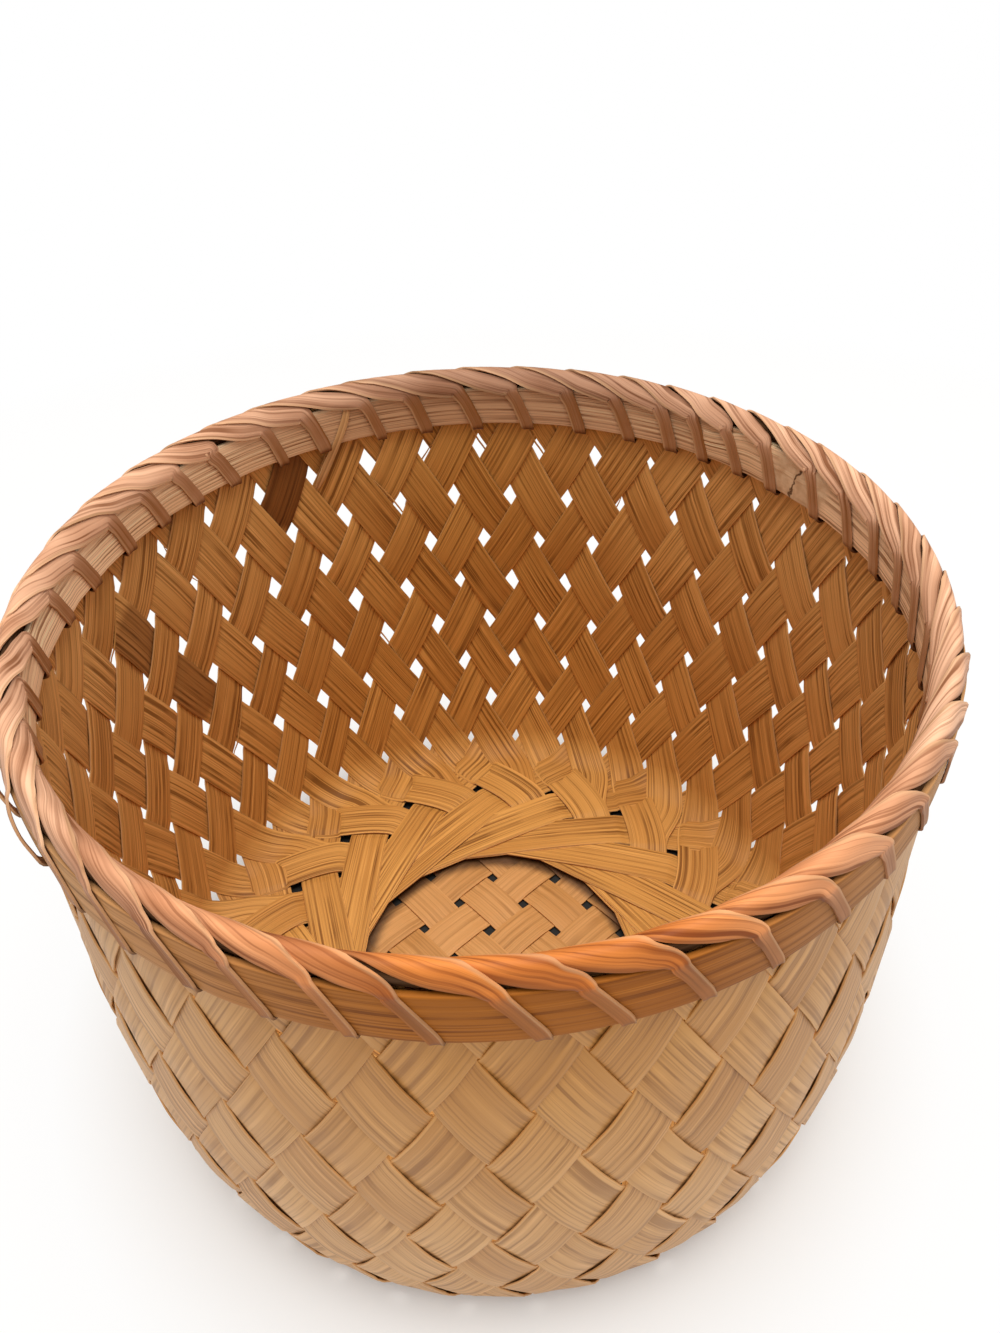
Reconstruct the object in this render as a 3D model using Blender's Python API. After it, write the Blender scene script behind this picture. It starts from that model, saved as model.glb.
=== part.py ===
"""Round bamboo basket, woven on the slant, with a bound double hoop at the rim.

Metres, +Z up. The basket stands on z = 0 with its axis on Z.

Thirty-six splints make the wall and the base. Each one is a single strip: it starts at the
rim, winds down the wall to one side, crosses the base past a round opening, and winds back
up to the rim to the other side. A small square mat closes the opening from below.

The weave is laid out on a slanted lattice. A splint follows one lattice line down and
another one up. "Turn" counts how far a line has wound, in splint pitches, from the rim
down. Two splints cross wherever twice the turn is a whole number, and that number is the
row. Row 1 is the first row below the hoops.
"""

import math

import bmesh
import bpy
import numpy as np

# Middle surface of the weave
RIM_RADIUS = 0.0900
RIM_HEIGHT = 0.1342
BELLY_RADIUS = 0.0923
BELLY_HEIGHT = 0.0600
FOOT_RADIUS = 0.0769
FOOT_BEND = 0.0100
FOOT_BEND_ANGLE = math.radians(75)

# Splints of the wall and base
SPLINT_COUNT = 36
SPLINT_COVER = 0.84
SPLINT_THICKNESS = 0.0005
WEAVE_GAP = 0.0005
ROW_PITCH = 0.0154
FIRST_ROW_DEPTH = 0.0204
IRIS_RADIUS = 0.0370
IRIS_TANGENT_RADIUS = 0.0310
FIRST_HOLE_ANGLE = math.radians(-2.1)

# Square mat under the opening in the base
MAT_PITCH = 0.0133
MAT_STRIP_WIDTH = 0.0110
MAT_STRIP_THICKNESS = 0.0006
MAT_LAYER_GAP = 0.0004
MAT_RADIUS = 0.0500
MAT_ANGLE = math.radians(39.5)
MAT_SHIFT = 0.0039

# Rim
HOOP_THICKNESS = 0.0010
INNER_HOOP_WIDTH = 0.0095
OUTER_HOOP_WIDTH = 0.0105
HOOP_LAP_ANGLE = math.radians(24)
HOOP_TIP = 0.0002
INNER_HOOP_LAP_AT = math.radians(22)
OUTER_HOOP_LAP_AT = math.radians(150)
CORE_RADIUS = 0.0019
BINDING_THICKNESS = 0.0005
BINDING_HALF_WIDTHS = {"hole": 0.0006, "side": 0.0016, "top": 0.0021}
BINDING_STRIPS = 3
BINDING_SLANT = 0.45
CLEARANCE = 0.0003

# Fineness
PROFILE_STEP = 0.0005
TANGENT_MARGIN = 1.01
BEND_STEPS = 4
FAN_STEPS = 3
HOOP_SEGMENTS = 48
LAP_STEPS = 3
CORE_SEGMENTS = 48
CORE_SIDES = 5

COLUMN_ANGLE = 2 * math.pi / SPLINT_COUNT
INNERMOST_RADIUS = TANGENT_MARGIN * IRIS_TANGENT_RADIUS
BASE_STEPS = math.ceil((FOOT_RADIUS - INNERMOST_RADIUS) / PROFILE_STEP)
HALF_COVER = SPLINT_COVER / 2
WEAVE_HALF = SPLINT_THICKNESS + WEAVE_GAP / 2
FLAT_SAG = BELLY_RADIUS * (1 - math.cos(HALF_COVER * COLUMN_ANGLE))
MAT_HEIGHT = 2 * MAT_STRIP_THICKNESS + MAT_LAYER_GAP
BASE_HEIGHT = MAT_HEIGHT + CLEARANCE + WEAVE_HALF
HOOP_TOP = RIM_HEIGHT - CORE_RADIUS - CLEARANCE
WALL_TOP_DEPTH = RIM_HEIGHT - HOOP_TOP

INSIDE = -1
MIDDLE = 0
OUTSIDE = 1


def hermite(start, end, start_slope, end_slope, share):
    """Smooth value between start and end, whose slopes are per whole share."""
    square = share ** 2
    cube = share ** 3
    return (
        start * (2 * cube - 3 * square + 1)
        + start_slope * (cube - 2 * square + share)
        + end * (3 * square - 2 * cube)
        + end_slope * (cube - square)
    )


def upper_wall():
    """Radii and heights from the rim down to the belly."""
    drop = RIM_HEIGHT - BELLY_HEIGHT
    share = np.linspace(0, 1, math.ceil(drop / PROFILE_STEP))
    return hermite(RIM_RADIUS, BELLY_RADIUS, 0, 0, share), RIM_HEIGHT - drop * share


def lower_wall():
    """Radii and heights from the belly down to the bend at the foot."""
    bend_top = BASE_HEIGHT + FOOT_BEND * (1 - math.cos(FOOT_BEND_ANGLE))
    bend_radius = FOOT_RADIUS + FOOT_BEND * math.sin(FOOT_BEND_ANGLE)
    drop = BELLY_HEIGHT - bend_top
    share = np.linspace(0, 1, math.ceil(drop / PROFILE_STEP))
    slope = -drop / math.tan(FOOT_BEND_ANGLE)
    return hermite(BELLY_RADIUS, bend_radius, 0, slope, share), BELLY_HEIGHT - drop * share


def foot():
    """Radii and heights round the bend, from the wall to the flat base."""
    steps = math.ceil(FOOT_BEND * FOOT_BEND_ANGLE / PROFILE_STEP)
    angle = np.linspace(FOOT_BEND_ANGLE, 0, steps)
    return FOOT_RADIUS + FOOT_BEND * np.sin(angle), BASE_HEIGHT + FOOT_BEND * (1 - np.cos(angle))


def base():
    """Radii and heights along the flat base, in to where the splints lie along a circle."""
    radius = np.linspace(FOOT_RADIUS, INNERMOST_RADIUS, BASE_STEPS)
    return radius, np.full(BASE_STEPS, BASE_HEIGHT)


def lean_on_wall(radius):
    """Sideways travel of a splint for each unit down the wall."""
    return radius * COLUMN_ANGLE / (2 * ROW_PITCH)


def lean_on_base(radius):
    """Sideways travel of a straight splint that passes the centre at the tangent radius."""
    outer = np.maximum(radius, INNERMOST_RADIUS)
    return IRIS_TANGENT_RADIUS / np.sqrt(outer ** 2 - IRIS_TANGENT_RADIUS ** 2)


def profile():
    """Radius, height, depth along the surface and turn, from the rim to the middle."""
    runs = [upper_wall(), lower_wall(), foot(), base()]
    radius = np.concatenate([runs[0][0]] + [run[0][1:] for run in runs[1:]])
    height = np.concatenate([runs[0][1]] + [run[1][1:] for run in runs[1:]])
    step = np.hypot(np.diff(radius), np.diff(height))
    depth = np.concatenate([[0], np.cumsum(step)])
    bend_height = FOOT_BEND * (1 - math.cos(FOOT_BEND_ANGLE))
    wall_share = np.clip((height - BASE_HEIGHT) / bend_height, 0, 1)
    lean = wall_share * lean_on_wall(radius) + (1 - wall_share) * lean_on_base(radius)
    rate = lean / (radius * COLUMN_ANGLE)
    turned = np.concatenate([[0], np.cumsum(step * (rate[1:] + rate[:-1]) / 2)])
    turn = turned + 0.5 - np.interp(FIRST_ROW_DEPTH, depth, turned)
    return radius, height, depth, turn


RADIUS, HEIGHT, DEPTH, TURN = profile()


def turn_at_height(height):
    """Turn on the wall at a height above the base."""
    return float(np.interp(-height, -HEIGHT, TURN))


def turn_at_base_radius(radius):
    """Turn on the flat base at a radius."""
    return float(np.interp(-radius, -RADIUS[-BASE_STEPS:], TURN[-BASE_STEPS:]))


def wall_radius(height):
    """Radius of the middle surface at a height on the wall."""
    return float(np.interp(-height, -HEIGHT, RADIUS))


def on_weave(column, turn, offset):
    """Point at a column and a turn, moved out from the middle surface by offset."""
    depth = np.interp(turn, TURN, DEPTH)
    radius = np.interp(depth, DEPTH, RADIUS)
    height = np.interp(depth, DEPTH, HEIGHT)
    before = max(depth - PROFILE_STEP, 0)
    after = min(depth + PROFILE_STEP, DEPTH[-1])
    down_radius = np.interp(after, DEPTH, RADIUS) - np.interp(before, DEPTH, RADIUS)
    down_height = np.interp(after, DEPTH, HEIGHT) - np.interp(before, DEPTH, HEIGHT)
    length = math.hypot(down_radius, down_height)
    radius = radius - offset * down_height / length
    height = height + offset * down_radius / length
    angle = column * COLUMN_ANGLE
    return (radius * math.cos(angle), radius * math.sin(angle), height)


BEND_TOP_TURN = turn_at_height(BASE_HEIGHT + FOOT_BEND * (1 - math.cos(FOOT_BEND_ANGLE)))
FOOT_TURN = turn_at_base_radius(FOOT_RADIUS)
LAST_ROW = round(2 * turn_at_base_radius(IRIS_RADIUS))
FIRST_LAYERED_ROW = math.ceil(2 * (BEND_TOP_TURN - HALF_COVER))


def wall_sections():
    """Sections of a splint down the wall, over one crossing splint and under the next.

    A section is the turn at the splint's near edge, the turn at its far edge, and its layer.
    """
    top = float(np.interp(WALL_TOP_DEPTH, DEPTH, TURN))
    sections = [(top, top, OUTSIDE), (0.0, HALF_COVER, OUTSIDE)]
    for row in range(1, FIRST_LAYERED_ROW):
        layer = INSIDE if row % 2 else OUTSIDE
        sections.append((row / 2 - HALF_COVER, row / 2, layer))
        sections.append((row / 2, row / 2 + HALF_COVER, layer))
    return sections


def foot_sections():
    """Sections from the last crossing, round the bend, to the flat base."""
    near = FIRST_LAYERED_ROW / 2 - HALF_COVER
    far = FIRST_LAYERED_ROW / 2
    sections = []
    for step in range(FAN_STEPS):
        share = step / FAN_STEPS
        near_turn = near + (BEND_TOP_TURN - near) * share
        far_turn = far + (BEND_TOP_TURN - far) * share
        sections.append((near_turn, far_turn, INSIDE))
    for step in range(BEND_STEPS + 1):
        turn = BEND_TOP_TURN + (FOOT_TURN - BEND_TOP_TURN) * step / BEND_STEPS
        sections.append((turn, turn, INSIDE))
    return sections


def iris_sections():
    """Sections on the flat base up to the last crossing before the opening."""
    last = (LAST_ROW - 1) / 2
    return [(last, last + HALF_COVER, INSIDE)]


def splint_rings():
    """Three points at each section of a splint: near edge, far edge and skin ridge.

    The way up mirrors the way down, on the other side of the wall from it.
    """
    down = wall_sections() + foot_sections() + iris_sections()
    middle = (LAST_ROW / 2 - HALF_COVER, LAST_ROW / 2 + HALF_COVER, MIDDLE)
    up = [(near, far, -layer) for near, far, layer in reversed(down)]
    rings = []
    for side, run in ((-1, down + [middle]), (1, up)):
        for near, far, layer in run:
            rings.append(splint_ring(side, near, far, layer))
    return rings, len(down) + 1


def splint_ring(side, near, far, layer):
    """Flat inner face and ridge on the skin side, at one section of a splint."""
    flat = layer * (SPLINT_THICKNESS + WEAVE_GAP) / 2 - SPLINT_THICKNESS / 2
    near_column = side * (LAST_ROW / 2 - near - HALF_COVER)
    far_column = side * (LAST_ROW / 2 - far + HALF_COVER)
    middle_column = (near_column + far_column) / 2
    return [
        on_weave(near_column, near, flat),
        on_weave(far_column, far, flat),
        on_weave(middle_column, (near + far) / 2, flat + SPLINT_THICKNESS),
    ]


def add_strip_faces(bm, first, second, flip):
    """Join two rings of vertices with triangles; flip picks the other diagonal.

    Opposite sides of a four-cornered ring share one diagonal, so that a band keeps its
    thickness where it twists.
    """
    count = len(first)
    for start in range(count):
        end = (start + 1) % count
        a, b, c, d = first[start], first[end], second[end], second[start]
        opposite = count == 4 and start >= 2
        if flip != opposite:
            bm.faces.new((a, b, d))
            bm.faces.new((b, c, d))
        else:
            bm.faces.new((a, b, c))
            bm.faces.new((a, c, d))


def solid_mesh(name, rings, closed=False, flip_from=None):
    """Mesh of a solid that runs through rings of points, with ends or joined up."""
    bm = bmesh.new()
    loops = [[bm.verts.new(point) for point in ring] for ring in rings]
    pairs = list(zip(loops, loops[1:]))
    if closed:
        pairs.append((loops[-1], loops[0]))
    else:
        bm.faces.new(loops[0])
        bm.faces.new(loops[-1])
    for index, (first, second) in enumerate(pairs):
        add_strip_faces(bm, first, second, flip_from is not None and index >= flip_from)
    bmesh.ops.triangulate(bm, faces=[face for face in bm.faces if len(face.verts) > 3])
    bmesh.ops.recalc_face_normals(bm, faces=bm.faces)
    mesh = bpy.data.meshes.new(name)
    bm.to_mesh(mesh)
    bm.free()
    return mesh


def add_object(name, mesh, material, turn=0.0):
    """Place a mesh in the scene, turned about the basket's axis."""
    if not mesh.materials:
        mesh.materials.append(material)
    item = bpy.data.objects.new(name, mesh)
    item.rotation_euler.z = turn
    bpy.context.scene.collection.objects.link(item)
    return item


def bamboo(name, colour, roughness):
    """Principled material for one kind of bamboo strip."""
    material = bpy.data.materials.new(name)
    material.use_nodes = True
    shader = material.node_tree.nodes["Principled BSDF"]
    shader.inputs["Base Color"].default_value = (*colour, 1.0)
    shader.inputs["Roughness"].default_value = roughness
    shader.inputs["Metallic"].default_value = 0.0
    return material


def add_splints():
    """Wall and base: one splint for each column, all alike."""
    rings, turn_index = splint_rings()
    mesh = solid_mesh("splint", rings, flip_from=turn_index)
    material = bamboo("wall_bamboo", (0.48, 0.27, 0.11), 0.5)
    middle_column = LAST_ROW / 2
    for number in range(SPLINT_COUNT):
        turn = FIRST_HOLE_ANGLE + (number + middle_column) * COLUMN_ANGLE
        add_object(f"splint_{number + 1:02d}", mesh, material, turn)


def mat_positions(shift):
    """Numbers and offsets of the parallel mat strips that fit in the mat's radius."""
    limit = MAT_RADIUS - MAT_STRIP_WIDTH / 2
    low = math.ceil((-limit - shift) / MAT_PITCH)
    high = math.floor((limit - shift) / MAT_PITCH)
    return [(number, number * MAT_PITCH + shift) for number in range(low, high + 1)]


def mat_strip_rings(number, offset, crossing, over_when):
    """Rings along a mat strip that runs on X, over and under the strips that cross it."""
    half = MAT_STRIP_WIDTH / 2
    rings = []
    crossed = [entry for entry in crossing if math.hypot(entry[1], offset) < MAT_RADIUS]
    for other, place in crossed:
        over = (number + other) % 2 == over_when
        bottom = MAT_STRIP_THICKNESS + MAT_LAYER_GAP if over else 0.0
        for x in (place - half, place + half):
            rings.append([x, bottom])
    rings[0][0] -= CLEARANCE
    rings[-1][0] += CLEARANCE
    return [mat_ring(x, bottom, offset - half, offset + half) for x, bottom in rings]


def mat_ring(x, bottom, left, right):
    """Rectangular section of a mat strip."""
    top = bottom + MAT_STRIP_THICKNESS
    return [(x, left, bottom), (x, right, bottom), (x, right, top), (x, left, top)]


def add_mat():
    """Plain woven mat that closes the opening of the base from below."""
    material = bamboo("mat_bamboo", (0.60, 0.37, 0.14), 0.55)
    along = mat_positions(MAT_SHIFT)
    across = mat_positions(0.0)
    for order, (number, offset) in enumerate(along):
        rings = mat_strip_rings(number, offset, across, 1)
        name = f"mat_strip_a_{order + 1}"
        add_object(name, solid_mesh(name, rings), material, MAT_ANGLE)
    for order, (number, offset) in enumerate(across):
        rings = mat_strip_rings(number, -offset, along, 0)
        name = f"mat_strip_b_{order + 1}"
        add_object(name, solid_mesh(name, rings), material, MAT_ANGLE + math.pi / 2)


def hoop_ring(angle, inner, outer, low, high):
    """Rectangular section of a hoop."""
    corners = ((inner, low), (outer, low), (outer, high), (inner, high))
    return [(r * math.cos(angle), r * math.sin(angle), z) for r, z in corners]


def hoop_mesh(name, inner, width, lap_at):
    """Flat band bent round the rim, with long thinned ends that lie over each other."""
    outer = inner + HOOP_THICKNESS
    low = HOOP_TOP - width
    body_turn = 2 * math.pi - HOOP_LAP_ANGLE
    body_steps = math.ceil(HOOP_SEGMENTS * body_turn / (2 * math.pi))
    lap = np.linspace(0, HOOP_LAP_ANGLE, LAP_STEPS + 1)
    seam = np.linspace(outer - HOOP_TIP, inner + HOOP_TIP + CLEARANCE, LAP_STEPS + 1)
    rings = []
    for angle, radius in zip(lap, seam):
        rings.append(hoop_ring(lap_at + angle, radius, outer, low, HOOP_TOP))
    for angle in np.linspace(HOOP_LAP_ANGLE, 2 * math.pi, body_steps + 1)[1:-1]:
        rings.append(hoop_ring(lap_at + angle, inner, outer, low, HOOP_TOP))
    for angle, radius in zip(lap, seam):
        rings.append(hoop_ring(lap_at + angle, inner, radius - CLEARANCE, low, HOOP_TOP))
    return solid_mesh(name, rings)


def facet_apothem(segments):
    """Distance to the middle of a flat facet, for a corner radius of one."""
    return math.cos(math.pi / segments)


def inner_hoop_radius():
    """Inner face of the inner hoop, which lies inside the weave."""
    return RIM_RADIUS - WEAVE_HALF - FLAT_SAG - CLEARANCE - HOOP_THICKNESS


def outer_hoop_radius():
    """Inner face of the outer hoop, which lies outside the weave."""
    weave = wall_radius(HOOP_TOP - OUTER_HOOP_WIDTH) + WEAVE_HALF
    return (weave + CLEARANCE) / facet_apothem(HOOP_SEGMENTS)


def binding_radii():
    """Middle of the binding where it lies on the inner and on the outer hoop."""
    seat = CLEARANCE + BINDING_THICKNESS / 2
    inside = inner_hoop_radius() * facet_apothem(HOOP_SEGMENTS) - seat
    outside = outer_hoop_radius() + HOOP_THICKNESS + seat
    return inside, outside


def add_hoops():
    """Inner and outer hoop, which clamp the splint ends between them."""
    material = bamboo("hoop_bamboo", (0.42, 0.22, 0.10), 0.5)
    inner = hoop_mesh("inner_hoop", inner_hoop_radius(), INNER_HOOP_WIDTH, INNER_HOOP_LAP_AT)
    outer = hoop_mesh("outer_hoop", outer_hoop_radius(), OUTER_HOOP_WIDTH, OUTER_HOOP_LAP_AT)
    add_object("inner_hoop", inner, material)
    add_object("outer_hoop", outer, material)


def add_rim_core():
    """Round filler ring that covers the cut splint ends."""
    inside, outside = binding_radii()
    rings = []
    for index in range(CORE_SEGMENTS):
        angle = 2 * math.pi * index / CORE_SEGMENTS
        ring = []
        for side in range(CORE_SIDES):
            tilt = math.pi / 2 + 2 * math.pi * side / CORE_SIDES
            radius = (inside + outside) / 2 + CORE_RADIUS * math.cos(tilt)
            height = RIM_HEIGHT + CORE_RADIUS * math.sin(tilt)
            ring.append((radius * math.cos(angle), radius * math.sin(angle), height))
        rings.append(ring)
    material = bamboo("core_bamboo", (0.50, 0.30, 0.16), 0.6)
    add_object("rim_core", solid_mesh("rim_core", rings, closed=True), material)


def binding_stations():
    """One turn of the binding: columns gone, radius, height, normal and half width."""
    inside, outside = binding_radii()
    hole = float(np.interp(FIRST_ROW_DEPTH, DEPTH, HEIGHT))
    middle = (inside + outside) / 2
    reach = (outside - inside) / 2
    top_slant = BINDING_STRIPS - 2 * BINDING_SLANT
    stations = [(0.0, inside, hole, (-1.0, -1.0), "hole")]
    for third in range(4):
        tilt = math.pi * (1 - third / 3)
        way = (math.cos(tilt), math.sin(tilt))
        gone = BINDING_SLANT + top_slant * third / 3
        place = "side" if third in (0, 3) else "top"
        stations.append((gone, middle + reach * way[0], RIM_HEIGHT + reach * way[1], way, place))
    stations.append((float(BINDING_STRIPS), outside, hole, (1.0, -1.0), "hole"))
    return stations


def binding_path(first_column):
    """Centres, normals and half widths along one binding strip, all round the rim."""
    path = []
    for turn in range(SPLINT_COUNT // BINDING_STRIPS):
        for gone, radius, height, normal, place in binding_stations():
            angle = (first_column + turn * BINDING_STRIPS + gone) * COLUMN_ANGLE
            out = np.array((math.cos(angle), math.sin(angle), 0.0))
            centre = out * radius + np.array((0.0, 0.0, height))
            way = out * normal[0] + np.array((0.0, 0.0, normal[1]))
            path.append((centre, way, BINDING_HALF_WIDTHS[place]))
    return path


def binding_rings(path):
    """Rectangular section at each point of the binding's path."""
    rings = []
    for index, (centre, normal, half_width) in enumerate(path):
        ahead = path[(index + 1) % len(path)][0] - path[index - 1][0]
        ahead = ahead / np.linalg.norm(ahead)
        square = normal - ahead * np.dot(normal, ahead)
        square = square * np.linalg.norm(normal) / np.linalg.norm(square)
        across = np.cross(square, ahead)
        across = across / np.linalg.norm(across) * half_width
        thick = square * BINDING_THICKNESS / 2
        corners = (centre - across - thick, centre + across - thick)
        ring = [tuple(point) for point in corners]
        ring += [tuple(point) for point in (centre + across + thick, centre - across + thick)]
        rings.append(ring)
    return rings


def add_bindings():
    """Strips that wind round the hoops and the core and through the first row of holes."""
    material = bamboo("binding_bamboo", (0.40, 0.15, 0.06), 0.55)
    for strip in range(BINDING_STRIPS):
        name = f"rim_binding_{strip + 1}"
        mesh = solid_mesh(name, binding_rings(binding_path(strip)), closed=True)
        add_object(name, mesh, material, FIRST_HOLE_ANGLE)


def clear_scene():
    """Start from an empty scene."""
    for item in list(bpy.data.objects):
        bpy.data.objects.remove(item, do_unlink=True)


def main():
    """Build every piece of the basket."""
    clear_scene()
    add_splints()
    add_mat()
    add_hoops()
    add_rim_core()
    add_bindings()


main()
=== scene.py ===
"""Round bamboo basket, woven on the slant, seen from above and in front."""

import math
import random
from bisect import bisect_left

import bmesh
import bpy
from mathutils import Matrix, Vector, noise


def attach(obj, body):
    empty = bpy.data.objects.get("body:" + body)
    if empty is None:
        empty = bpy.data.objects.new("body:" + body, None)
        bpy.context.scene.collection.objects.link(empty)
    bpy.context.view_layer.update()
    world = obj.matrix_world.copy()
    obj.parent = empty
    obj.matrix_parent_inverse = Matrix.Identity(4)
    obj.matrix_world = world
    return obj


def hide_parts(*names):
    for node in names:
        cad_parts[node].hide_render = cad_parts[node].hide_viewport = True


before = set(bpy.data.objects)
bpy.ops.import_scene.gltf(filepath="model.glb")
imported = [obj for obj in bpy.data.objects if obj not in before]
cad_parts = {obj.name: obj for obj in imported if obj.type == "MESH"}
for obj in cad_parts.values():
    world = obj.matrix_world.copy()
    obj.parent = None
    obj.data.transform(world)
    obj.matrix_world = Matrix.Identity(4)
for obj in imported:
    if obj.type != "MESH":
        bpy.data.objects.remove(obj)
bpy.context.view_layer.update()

FULL_TURN = 2 * math.pi

# Middle surface of the weave, the same as in the frame
RIM_RADIUS = 0.0900
RIM_HEIGHT = 0.1342
BELLY_RADIUS = 0.0923
BELLY_HEIGHT = 0.0600
FOOT_RADIUS = 0.0769
FOOT_BEND = 0.0100
FOOT_BEND_ANGLE = math.radians(75)
BEND_HEIGHT = FOOT_BEND * (1 - math.cos(FOOT_BEND_ANGLE))
BASE_HEIGHT = 0.00265

# Splints
SPLINT_COUNT = 36
COLUMN_ANGLE = FULL_TURN / SPLINT_COUNT
SPLINT_HALF_WIDTH = 0.0053
FRONT_WIDENING = 0.27
WIDENED_OVER = 0.030
FOOT_WIDENING = 0.03
BASE_HALF_WIDTH = 0.0058
SPLINT_THICKNESS = 0.00042
SPLINT_EDGE = 0.00010
SPLINT_CUP = 0.00008
END_DEPTH = 0.0024
END_SCATTER = 0.0006
WIDTH_WANDER = 0.11
SIDE_WANDER = 0.0010
STEADY_WITHIN = 0.040
STEADY_FADE = 0.020
TWIST_WANDER = 0.03
HALF_COVER = 0.43
FOOT_HALF_COVER = 0.38
PAIR_HALF_COVER = 0.84
ROW_PITCH = 0.0154
FIRST_ROW_DEPTH = 0.0204
FIRST_HOLE_ANGLE = math.radians(-2.1)
LAST_SINGLE_ROW = 8
FOOT_ROW = LAST_SINGLE_ROW + 0.88
BLADE_ROW = 12
PASS_TURN = 10
LOW_LIFT = 0.00027
HIGH_LIFT = 0.00026
SPLINT_STEPS = 520
SPLINT_COLUMNS = 6
PROBE = 0.0008

# Places where the splints lie closest: middle, half angle, how much they widen
CROWDED_PLACES = (
    (math.radians(45), math.radians(62), 0.085),
    (math.radians(182), math.radians(44), 0.050),
)

# Dark stains: splint, place along it, half length, strength
SPLINT_STAINS = ((12, -0.1950, 0.0100, 1.0), (33, 0.1600, 0.0245, 0.68))
STAIN_FADE = 0.004

# Fine splinters lifted from an edge: splint, place along it, half length, side, gap
SPLINTERS = (
    (25, 0.2015, 0.011, -1, 0.0012), (24, 0.2005, 0.010, -1, 0.0011), (9, -0.1860, 0.012, 1, 0.0011),
    (28, 0.1760, 0.012, 1, 0.0010), (31, 0.1900, 0.010, -1, 0.0012), (6, -0.1760, 0.010, -1, 0.0011),
    (21, 0.1580, 0.012, -1, 0.0009), (14, -0.1500, 0.011, 1, 0.0011), (18, 0.1500, 0.010, 1, 0.0009),
    (12, -0.1200, 0.012, -1, 0.0012), (30, 0.1250, 0.012, 1, 0.0011), (16, -0.1850, 0.011, -1, 0.0012),
)
SPLINTER_HALF_WIDTH = 0.00024
SPLINTER_THICKNESS = 0.00022
SPLINTER_EDGE = 0.00005
SPLINTER_ROOT = 0.0002

# Free strip end over the inner hoop: angle in degrees, radius, height, half width
LOOSE_END = (
    (110.2, 0.0876, 0.1338, 0.0008), (110.9, 0.0870, 0.1310, 0.0009), (111.6, 0.0868, 0.1282, 0.0010),
    (113.2, 0.0868, 0.1234, 0.0010), (114.9, 0.0880, 0.1180, 0.0012), (116.4, 0.0887, 0.1136, 0.0011),
    (117.4, 0.0898, 0.1100, 0.0006),
)
LOOSE_END_STEPS = 6
LOOSE_END_STEP_LENGTH = 0.0007
LOOSE_END_THICKNESS = 0.0004
LOOSE_END_EDGE = 0.0001

# Blades that the splints make in pairs round the opening in the base
PAIRED_WITHIN = 0.044
PAIRED_FROM = 0.066
PAIR_LIFT = 0.00022
PAIR_LOW_LIFT = 0.00042
PAIR_HIGH_LIFT = 0.00010
BASE_LIFT = 0.00042
STACK_LIFT = 0.00043
STACK_RISE = 0.00055
BLADE_TILT = 0.045
STACK_LEVEL_AT = 0.020
STACK_HUMP_AT = 0.026
BLADES_WITHIN = 0.0365
BLADES_FADE = 0.0080
FULL_WIDTH_WITHIN = 0.0540
FULL_WIDTH_FADE = 0.0280

# Square mat
MAT_PITCH = 0.0133
MAT_HALF_WIDTH = 0.0054
MAT_THICKNESS = 0.00045
MAT_EDGE = 0.00010
MAT_STEPS = 90
MAT_COLUMNS = 6
MAT_RADIUS = 0.0500
MAT_MARGIN = 0.0055
MAT_ANGLE = math.radians(39.5)
MAT_SHIFT = 0.0039
MAT_MIDDLE = 0.00083
MAT_LIFT = 0.00050

# Radii between which the mat goes dark under the blades: painted shadow
SHADE_FROM, SHADE_TO = 0.0340, 0.0368

# Hoops
INNER_HOOP_RADIUS = 0.0881
OUTER_HOOP_RADIUS = 0.0919
INNER_HOOP_WIDTH = 0.0104
OUTER_HOOP_WIDTH = 0.0117
INNER_HOOP_TOP = 0.1329
OUTER_HOOP_TOP = 0.1332
HOOP_THICKNESS = 0.0012
HOOP_EDGE = 0.00030
HOOP_BULGE = 0.00018
HOOP_WANDER = 0.0002
TAIL_ANGLE, TAIL_FADE = 0.16, 0.14
HOOP_STEPS = 480
HOOP_COLUMNS = 12
HOOP_LAP = math.radians(26)
INNER_HOOP_LAP_AT = math.radians(22)
OUTER_HOOP_LAP_AT = math.radians(150)
SCAR_AT = math.radians(28.5)
SCAR_HALF_ANGLE = 0.085
SCAR_FADE = 0.035
SCAR_SKEW = 0.02
CRACK_AT = math.radians(29.3)
CRACK_SLANT = 0.33

# Core and binding
BUNDLE_RADIUS = 0.08995
BUNDLE_REACH = 0.0030
CORE_HEIGHT = 0.1347
CORE_RADIUS = 0.0018
CORE_STEPS = 200
CORE_SIDES = 14
LOOP_BOTTOM = 0.1222
LOOP_DROP = 0.0017
LOOP_STEPS = 12
RIDGE_STEPS = 6
BINDING_STRIPS = 3
BINDING_THICKNESS = 0.00045
BINDING_EDGE = 0.00012
BINDING_CHANNEL = 0.00014
BINDING_STEPS = 4
BINDING_COLUMNS = 8
TUCKED_HALF_WIDTH = 0.0007
FLOAT_HALF_WIDTH = 0.0024
INNER_LASHING_HALF_WIDTH = 0.0017
OUTER_LASHING_HALF_WIDTH = 0.0011
INNER_LASHING_SLANT = math.radians(2.6)
OUTER_LASHING_SLANT = math.radians(3.5)
FLOAT_OVERLAP = 0.00028

# Radius and height over the rim, from the inner hoop to the outer one
RIDGE = (
    (0.08695, 0.1320), (0.0871, 0.1335), (0.0877, 0.1350), (0.0888, 0.1365), (0.0900, 0.1372),
    (0.0911, 0.1365), (0.0918, 0.1353), (0.0923, 0.1343), (0.0928, 0.1335), (0.09295, 0.1326),
)

# Strand over the rim: share of the angle it travels, length over the rim
FLOAT_PATH = (
    (0.04, 0.0012), (0.10, 0.0017), (0.20, 0.0024), (0.33, 0.0035), (0.50, 0.0057),
    (0.67, 0.0075), (0.78, 0.0083), (0.87, 0.0092), (0.93, 0.0101), (0.975, 0.0113),
)

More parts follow.
